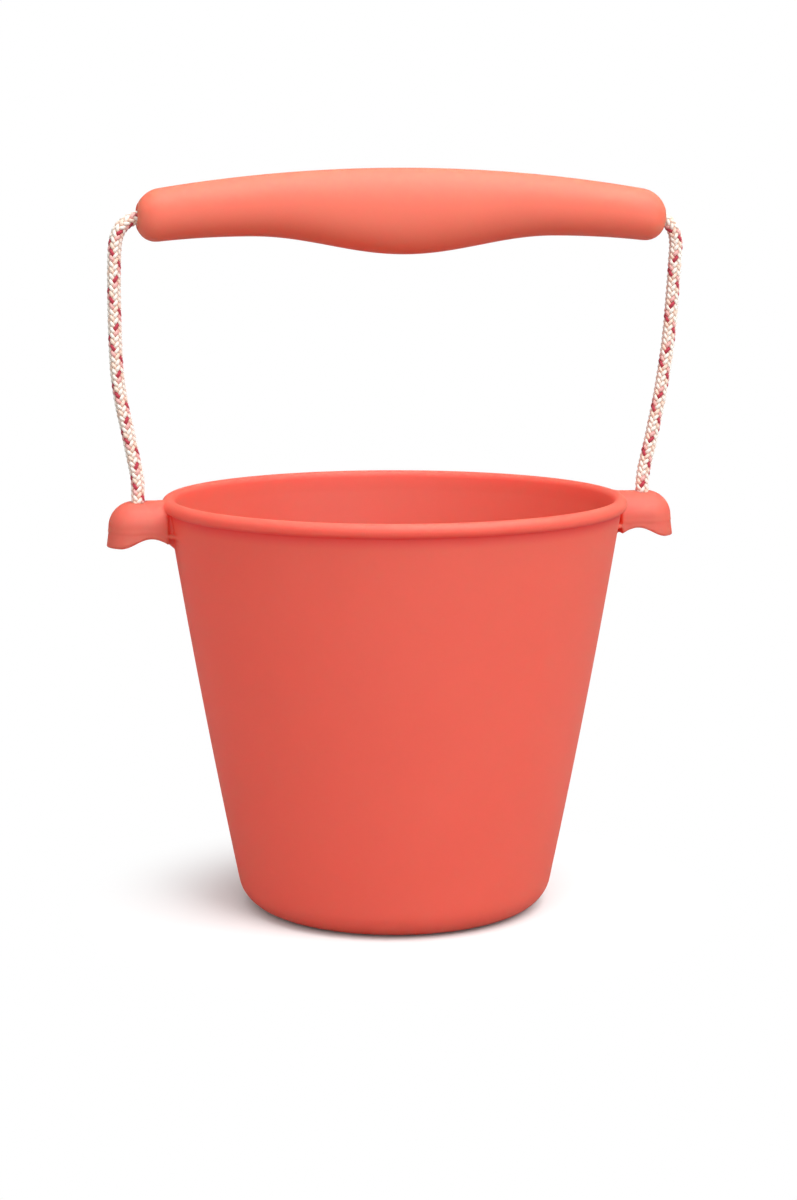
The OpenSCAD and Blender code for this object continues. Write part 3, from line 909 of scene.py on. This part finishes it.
class BEACH_OT_mould_grip(bpy.types.Operator):
    """Mould the arched grip with its finger bump, round ends and bore"""

    bl_idname = "beach_bucket.mould_grip"
    bl_label = "Mould the grip"

    sides = 72
    stations = 110
    end_rings = 14

    def execute(self, context):
        g = context.scene.grip_shape
        look = context.scene.silicone_look
        end_h = (g.waist_d - g.arch * (1 - (g.bump_reach / g.half_len) ** 2) + g.end_swell) / 2
        round_r = end_h - g.end_flat
        a = np.arange(self.sides) / self.sides * math.tau
        straight = g.half_len - round_r
        rings = [
            self.section(g, s * np.ones_like(a), 0 * a, round_r, a)
            for s in np.linspace(-straight, straight, self.stations)
        ]
        right = self.end(g, round_r, a)
        left = [ring * (-1, 1, 1) for ring in right]
        rings = left[::-1] + rings[1:-1] + right
        points = np.concatenate(rings) + (g.shift, 0, BORE_Z)
        faces = []
        for i in range(len(rings)):
            below, above = i * self.sides, (i + 1) % len(rings) * self.sides
            for j in range(self.sides):
                k = (j + 1) % self.sides
                faces.append((below + j, below + k, above + k, above + j))
        mesh = mesh_of("grip_moulding", points, faces, silicone("grip_silicone", look.grip, look))
        made = add_object("grip_moulding", mesh)
        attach(made, "grip")
        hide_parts("grip")
        return {"FINISHED"}

    def section(self, g, s, inset, round_r, a):
        """Points round the grip at stations s, drawn in by the inset."""
        bell = np.where(np.abs(s) < g.bump_reach, (1 + np.cos(math.pi * s / g.bump_reach)) / 2, 0)
        ramp = np.maximum(0, (np.abs(s) - g.bump_reach) / (g.half_len - g.bump_reach)) ** 2
        top = g.waist_d - g.waist_low + g.arch * ((g.bump_reach / g.half_len) ** 2 - (s / g.half_len) ** 2)
        low = -g.waist_low - g.bump_drop * bell - g.end_swell * ramp
        half_w = g.waist_d / 2 + g.side_swell * bell - g.end_slim * ramp - inset
        middle = (top + low) / 2
        half_h = (top - low) / 2 - inset
        c, d = (np.sign(f) * np.abs(f) ** (2 / g.square) for f in (np.cos(a), np.sin(a)))
        return np.stack([s, half_w * c, middle * (1 - inset / round_r) + half_h * d], 1)

    def end(self, g, round_r, a):
        """Rings over the right end: the rounding, the lip, the flared mouth and half of the bore."""

        def over(angle):
            s = g.half_len - round_r * (1 - np.sin(angle))
            return self.section(g, s, round_r * (1 - np.cos(angle)), round_r, a)

        lip_r = g.mouth_r + 0.3 * MM
        low, high = np.zeros_like(a), np.full_like(a, math.pi / 2)
        for _ in range(40):
            middle = (low + high) / 2
            wide = np.hypot(*over(middle)[:, 1:].T) > lip_r
            low, high = np.where(wide, middle, low), np.where(wide, high, middle)
        rings = [over(low * t) for t in np.linspace(0, 1, self.end_rings)]
        lip = rings[-1]
        way = lip[:, 1:] / np.hypot(*lip[:, 1:].T)[:, None]
        flare = (g.mouth_r - g.bore_r) / g.mouth_len
        inner = [(0.12 * MM, g.mouth_r + 0.12 * MM), (0.0, g.mouth_r), (-0.4 * MM, g.mouth_r - 0.15 * MM)]
        for step, r in inner:
            rings.append(np.column_stack([lip[:, 0] + step, way * r]))
        for depth in np.linspace(1.5 * MM, g.mouth_len, 5):
            r = g.mouth_r - flare * depth
            rings.append(np.column_stack([np.full(len(way), g.half_len - depth), way * r]))
        for x in np.linspace(g.half_len - g.mouth_len - 4 * MM, 2 * MM, 6):
            rings.append(np.column_stack([np.full(len(way), x), way * g.bore_r]))
        return rings


class BEACH_OT_set_stage(bpy.types.Operator):
    """Set up the camera, the soft lamps and the pale floor"""

    bl_idname = "beach_bucket.set_stage"
    bl_label = "Set the stage"

    def execute(self, context):
        scene = context.scene
        studio = scene.studio_look
        scene.view_settings.view_transform = "Standard"
        self.camera(scene, studio)
        self.world(scene, studio)
        self.lamp("top_lamp", studio.top_light, 1.1, (0.1, -0.1, 1.3), (0, 0, 0.1))
        self.lamp("key_lamp", studio.key_light, 1.0, (0.55, -0.95, 1.25), (0, 0, 0.1))
        self.floor(studio)
        return {"FINISHED"}

    def camera(self, scene, studio):
        """The camera in front of the bucket, a little to its left."""
        data = bpy.data.cameras.new("photo_camera")
        data.lens = studio.lens
        data.sensor_width = 36
        data.shift_x = studio.shift
        data.clip_start = 0.01
        camera = add_object("photo_camera", data)
        side, back = math.sin(studio.azimuth), math.cos(studio.azimuth)
        camera.location = (-studio.distance * side, -studio.distance * back, studio.eye)
        camera.rotation_euler = Euler((math.pi / 2 - studio.pitch, 0, -studio.azimuth))
        scene.camera = camera

    def world(self, scene, studio):
        """White surroundings, whose light on the object is even apart from its slant."""
        world = bpy.data.worlds.new("studio_white")
        world.use_nodes = True
        scene.world = world
        tree = world.node_tree
        sky = tree.nodes["Background"]
        sky.inputs["Color"].default_value = (1, 1, 1, 1)
        way = add_node(tree, "ShaderNodeTexCoord").outputs["Generated"]
        slant = add_node(tree, "ShaderNodeVectorMath", {0: way, 1: studio.slant}, operation="DOT_PRODUCT")
        even = calc(tree, "MAXIMUM", calc(tree, "ADD", slant.outputs["Value"], studio.fill), 0.05)
        strength = add_node(
            tree, "ShaderNodeMapRange", {"Value": self.seen(tree, studio), "To Min": even, "To Max": 1.0}
        )
        tree.links.new(strength.outputs["Result"], sky.inputs["Strength"])

    def seen(self, tree, studio):
        """How much of the white surroundings a ray sees: all for the view, a share for gloss."""
        rays = add_node(tree, "ShaderNodeLightPath").outputs
        view = calc(tree, "MAXIMUM", rays["Is Camera Ray"], rays["Is Transmission Ray"])
        return calc(tree, "MAXIMUM", view, calc(tree, "MULTIPLY", rays["Is Glossy Ray"], studio.gloss_white))

    def lamp(self, name, power, size, place, aim):
        """A round soft lamp aimed at a point."""
        data = bpy.data.lights.new(name, "AREA")
        data.energy = power
        data.shape = "DISK"
        data.size = size
        lamp = add_object(name, data)
        lamp.location = place
        direction = np.array(aim) - np.array(place)
        tilt = math.atan2(math.hypot(direction[0], direction[1]), -direction[2])
        lamp.rotation_euler = Euler((tilt, 0, math.atan2(-direction[0], direction[1])))

    def floor(self, studio):
        """A wide pale disc that keeps the shadow near the object and turns white far from it."""
        rim = 64
        size = 4.0
        drop = 0.05 * MM
        points = [(size * math.cos(t), size * math.sin(t), -drop) for t in np.arange(rim) * math.tau / rim]
        material, tree, shader = new_material("pale_floor")
        shader.inputs["Roughness"].default_value = 0.9
        shader.inputs["Specular IOR Level"].default_value = 0.0
        place = add_node(tree, "ShaderNodeTexCoord").outputs["Object"]
        away = add_node(tree, "ShaderNodeVectorMath", {0: place}, operation="LENGTH").outputs["Value"]
        far = add_node(
            tree,
            "ShaderNodeMapRange",
            {"Value": away, "From Min": studio.floor_near, "From Max": studio.floor_far},
            interpolation_type="SMOOTHSTEP",
        )
        seen = self.seen(tree, studio)
        pale = add_node(
            tree,
            "ShaderNodeMapRange",
            {"Value": seen, "To Min": studio.floor_bounce, "To Max": studio.floor_white},
        )
        tree.links.new(pale.outputs["Result"], shader.inputs["Base Color"])
        seen = calc(tree, "MULTIPLY", seen, far.outputs["Result"])
        glow = add_node(tree, "ShaderNodeEmission", {"Color": (1, 1, 1, 1), "Strength": 1.0})
        mixed = add_node(
            tree, "ShaderNodeMixShader", {0: seen, 1: shader.outputs["BSDF"], 2: glow.outputs["Emission"]}
        )
        tree.links.new(mixed.outputs["Shader"], tree.nodes["Material Output"].inputs["Surface"])
        floor = add_object("studio_floor", mesh_of("studio_floor", points, [list(range(rim))], material))


class BEACH_PT_panel(bpy.types.Panel):
    """Sidebar panel that lists the bucket's pieces and their sizes"""

    bl_idname = "BEACH_PT_panel"
    bl_label = "Beach Bucket"
    bl_space_type = "VIEW_3D"
    bl_region_type = "UI"
    bl_category = "Beach Bucket"

    def draw(self, context):
        for operator in OPERATORS:
            self.layout.operator(operator.bl_idname)
        for name, group in SETTINGS.items():
            box = self.layout.box()
            box.label(text=group.__doc__)
            for key in group.__annotations__:
                box.prop(getattr(context.scene, name), key)


OPERATORS = (BEACH_OT_set_stage, BEACH_OT_braid_cord, BEACH_OT_mould_bucket, BEACH_OT_mould_grip)


def register():
    """Adds the classes and the scene's settings."""
    for group in SETTINGS.values():
        bpy.utils.register_class(group)
    for name, group in SETTINGS.items():
        setattr(bpy.types.Scene, name, PointerProperty(type=group))
    for operator in OPERATORS:
        bpy.utils.register_class(operator)
    bpy.utils.register_class(BEACH_PT_panel)


def unregister():
    """Takes the classes and the scene's settings away again."""
    bpy.utils.unregister_class(BEACH_PT_panel)
    for operator in reversed(OPERATORS):
        bpy.utils.unregister_class(operator)
    for name in SETTINGS:
        delattr(bpy.types.Scene, name)
    for group in reversed(list(SETTINGS.values())):
        bpy.utils.unregister_class(group)


def main():
    """Builds every piece in order."""
    register()
    bpy.ops.beach_bucket.set_stage()
    bpy.ops.beach_bucket.braid_cord()
    bpy.ops.beach_bucket.mould_bucket()
    bpy.ops.beach_bucket.mould_grip()


if __name__ == "__main__":
    main()
